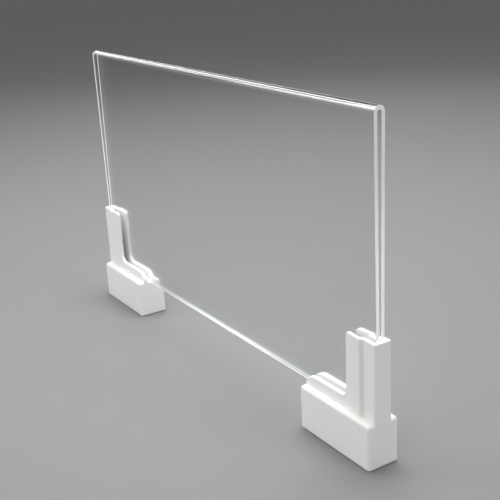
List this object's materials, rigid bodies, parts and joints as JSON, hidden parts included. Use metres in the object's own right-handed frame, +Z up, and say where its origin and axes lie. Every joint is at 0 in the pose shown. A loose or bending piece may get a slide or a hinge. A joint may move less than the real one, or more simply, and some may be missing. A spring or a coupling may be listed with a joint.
{
  "type": "sneeze guard",
  "caption": "Free-standing counter sneeze guard: a clear acrylic sheet folded double, held upright in the slots of two weighted white feet.",
  "frame": {"origin": "the middle of the footprint, on the surface that the pads stand on", "axes": "+X along the panel, +Y through it, +Z up"},
  "size_m": [0.608, 0.038, 0.36],
  "materials": {
    "clear_acrylic": "polished",
    "white_plastic": "satin",
    "cover_plastic": "matte",
    "steel": "satin",
    "zinc_plated_steel": "satin",
    "grey_rubber": "matte"
  },
  "bodies": {
    "panel": {"folded_panel": "clear_acrylic"},
    "left_foot": {"left_foot_shell": "white_plastic", "left_ballast_bar": "steel", "left_base_cover": "cover_plastic", "left_cover_screw_inner": "zinc_plated_steel", "left_cover_screw_outer": "zinc_plated_steel", "left_pad_front_inner": "grey_rubber", "left_pad_front_outer": "grey_rubber", "left_pad_back_inner": "grey_rubber", "left_pad_back_outer": "grey_rubber"},
    "right_foot": {"right_foot_shell": "white_plastic", "right_ballast_bar": "steel", "right_base_cover": "cover_plastic", "right_cover_screw_inner": "zinc_plated_steel", "right_cover_screw_outer": "zinc_plated_steel", "right_pad_front_inner": "grey_rubber", "right_pad_front_outer": "grey_rubber", "right_pad_back_inner": "grey_rubber", "right_pad_back_outer": "grey_rubber"}
  },
  "joints": [
    {"name": "left_foot_slide", "type": "slide", "parent": "panel", "child": "left_foot", "axis": [-1, 0, 0], "range_m": [0, 0.12]},
    {"name": "right_foot_slide", "type": "slide", "parent": "panel", "child": "right_foot", "axis": [1, 0, 0], "range_m": [0, 0.12]}
  ]
}
